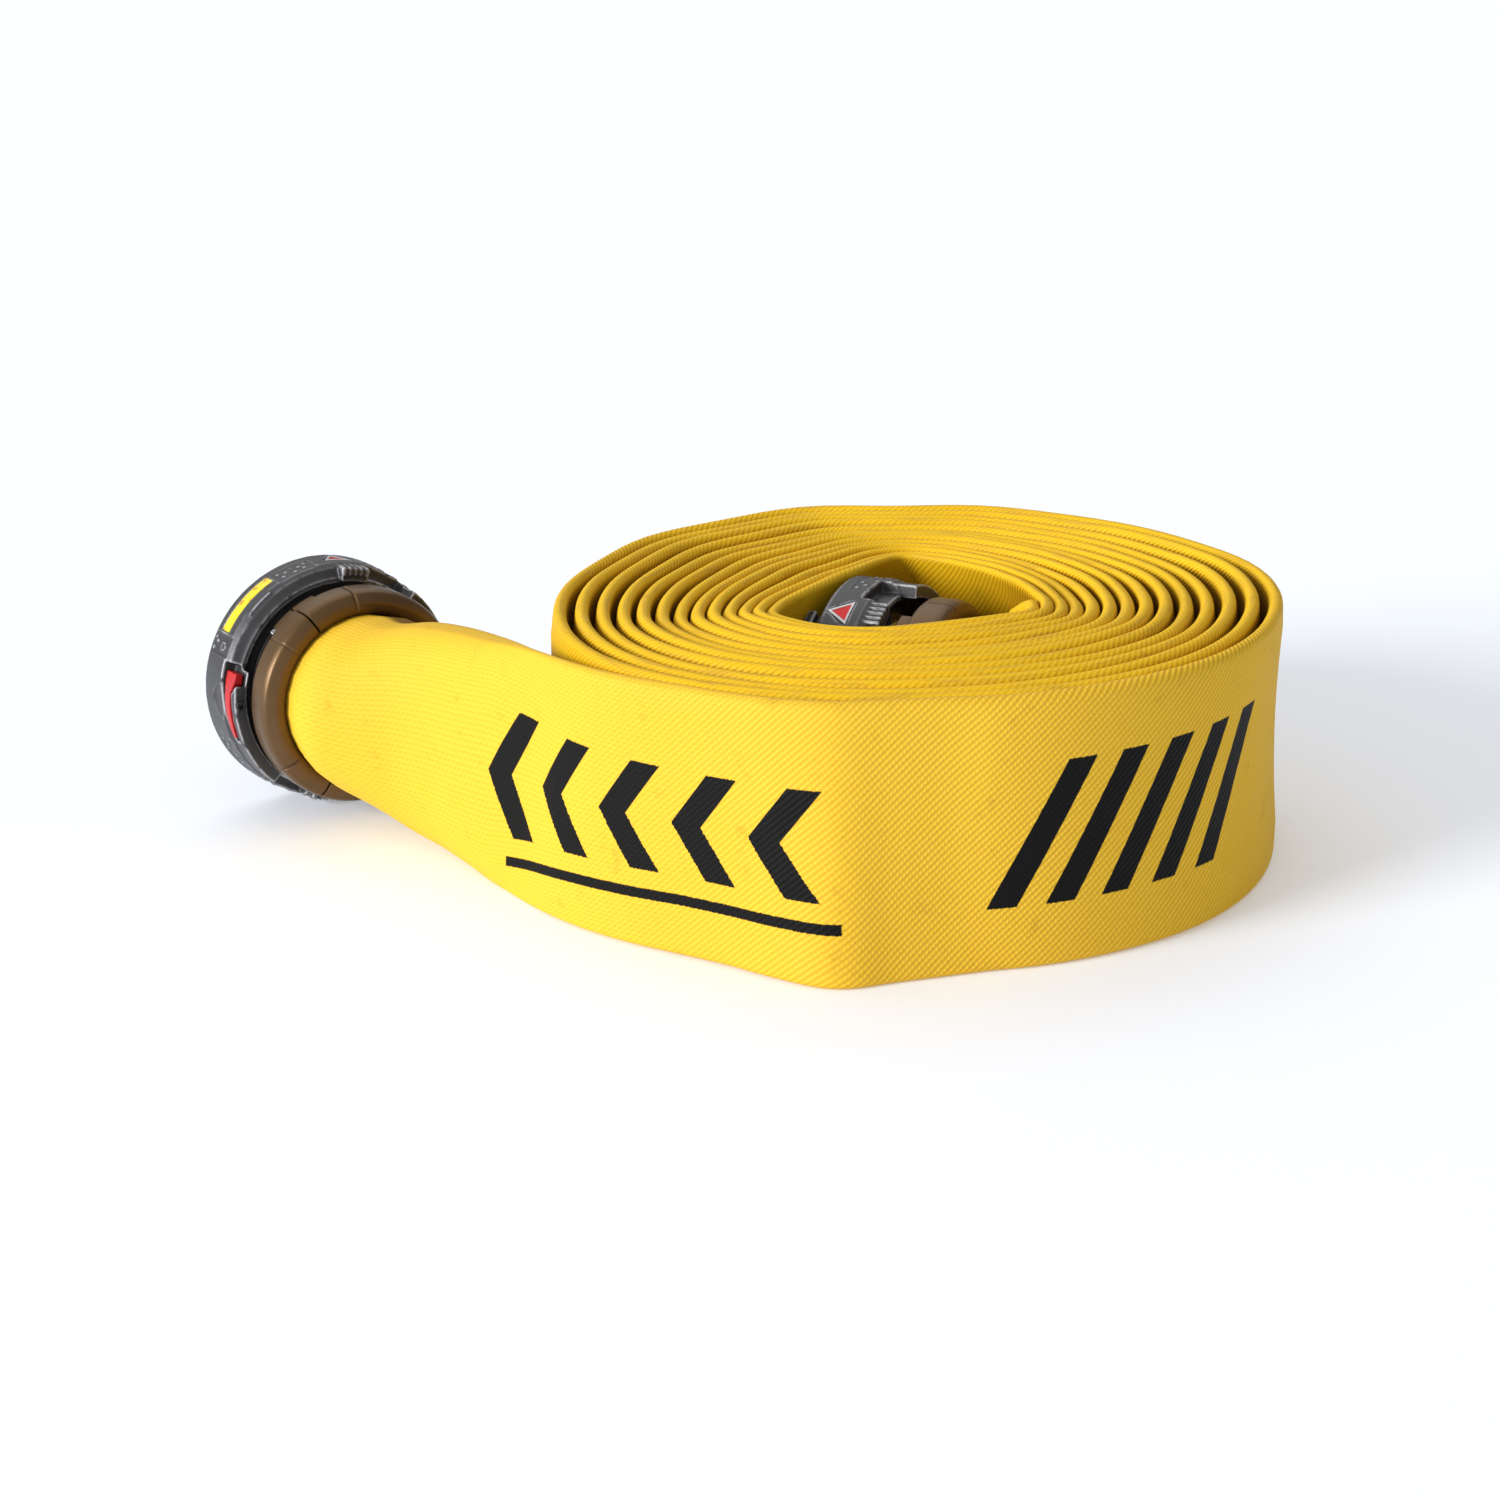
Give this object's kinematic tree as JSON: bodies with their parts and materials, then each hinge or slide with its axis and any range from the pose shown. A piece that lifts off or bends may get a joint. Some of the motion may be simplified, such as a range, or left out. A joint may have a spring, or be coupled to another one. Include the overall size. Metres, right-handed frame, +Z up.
{
  "type": "rolled lay-flat fire hose",
  "caption": "Flat fire hose rolled on its edge, with a swivelling quarter-turn coupling on its free tail and another in the eye of the roll.",
  "frame": {"origin": "on the floor under the middle of the whole object", "axes": "+Z up, +X along the longest side, from the free coupling towards the roll"},
  "size_m": [0.7006, 0.471, 0.168],
  "materials": {
    "hose_yellow": "ribbed satin rubber over a woven jacket",
    "cast_grey": "dark grey satin coated casting",
    "shank_aluminium": "machined",
    "collar_bronze": "brown anodised satin casting",
    "lever_red": "red satin",
    "strip_yellow": "reflective tape",
    "seal_rubber": "moulded black rubber",
    "bearing_nylon": "moulded nylon",
    "fastener_steel": "plain stainless steel"
  },
  "bodies": {
    "root": {"hose_lead": "hose_yellow", "hose_roll": "hose_yellow", "hose_tail": "hose_yellow", "inner_collar_bolt_1": "fastener_steel", "inner_collar_bolt_2": "fastener_steel", "inner_collar_bolt_3": "fastener_steel", "inner_collar_segment_1": "collar_bronze", "inner_collar_segment_2": "collar_bronze", "inner_collar_segment_3": "collar_bronze", "inner_face_gasket": "seal_rubber", "inner_hose_end": "hose_yellow", "inner_retaining_ring": "fastener_steel", "inner_shank": "shank_aluminium", "inner_swivel_o_ring": "seal_rubber", "inner_swivel_ring": "bearing_nylon", "outer_collar_bolt_1": "fastener_steel", "outer_collar_bolt_2": "fastener_steel", "outer_collar_bolt_3": "fastener_steel", "outer_collar_segment_1": "collar_bronze", "outer_collar_segment_2": "collar_bronze", "outer_collar_segment_3": "collar_bronze", "outer_face_gasket": "seal_rubber", "outer_hose_end": "hose_yellow", "outer_retaining_ring": "fastener_steel", "outer_shank": "shank_aluminium", "outer_swivel_o_ring": "seal_rubber", "outer_swivel_ring": "bearing_nylon"},
    "outer_head": {"outer_head": "cast_grey", "outer_lever_screw_1": "fastener_steel", "outer_lever_screw_2": "fastener_steel", "outer_lever_spring_1": "fastener_steel", "outer_lever_spring_2": "fastener_steel", "outer_lock_mark_1": "lever_red", "outer_lock_mark_2": "lever_red", "outer_reflective_strip_1": "strip_yellow", "outer_reflective_strip_2": "strip_yellow"},
    "outer_lever_1": {"outer_lock_lever_1": "lever_red"},
    "outer_lever_2": {"outer_lock_lever_2": "lever_red"},
    "inner_head": {"inner_head": "cast_grey", "inner_lever_screw_1": "fastener_steel", "inner_lever_screw_2": "fastener_steel", "inner_lever_spring_1": "fastener_steel", "inner_lever_spring_2": "fastener_steel", "inner_lock_mark_1": "lever_red", "inner_lock_mark_2": "lever_red", "inner_reflective_strip_1": "strip_yellow", "inner_reflective_strip_2": "strip_yellow"},
    "inner_lever_1": {"inner_lock_lever_1": "lever_red"},
    "inner_lever_2": {"inner_lock_lever_2": "lever_red"}
  },
  "joints": [
    {"name": "outer_swivel", "type": "hinge", "parent": "root", "child": "outer_head", "pos_m": [-0.28267, 0.13745, 0.0828], "axis": [0.5476, -0.8368, 0], "continuous": true},
    {"name": "outer_lever_1_press", "type": "hinge", "parent": "outer_head", "child": "outer_lever_1", "pos_m": [-0.32682, 0.06435, 0.08482], "axis": [0.5476, -0.8368, 0], "range_deg": [0, 7], "stiffness_Nm_per_rad": 0.6, "springref_deg": -20.05},
    {"name": "outer_lever_2_press", "type": "hinge", "parent": "outer_head", "child": "outer_lever_2", "pos_m": [-0.198, 0.14864, 0.08078], "axis": [0.5476, -0.8368, 0], "range_deg": [0, 7], "stiffness_Nm_per_rad": 0.6, "springref_deg": -20.05},
    {"name": "inner_swivel", "type": "hinge", "parent": "root", "child": "inner_head", "pos_m": [0.08033, 0.04145, 0.0828], "axis": [0.9063, -0.4226, 0], "continuous": true},
    {"name": "inner_lever_1_press", "type": "hinge", "parent": "inner_head", "child": "inner_lever_1", "pos_m": [0.08771, -0.03028, 0.037], "axis": [0.9063, -0.4226, 0], "range_deg": [0, 7], "stiffness_Nm_per_rad": 0.6, "springref_deg": -20.05},
    {"name": "inner_lever_2_press", "type": "hinge", "parent": "inner_head", "child": "inner_lever_2", "pos_m": [0.14002, 0.08192, 0.1286], "axis": [0.9063, -0.4226, 0], "range_deg": [0, 7], "stiffness_Nm_per_rad": 0.6, "springref_deg": -20.05}
  ]
}
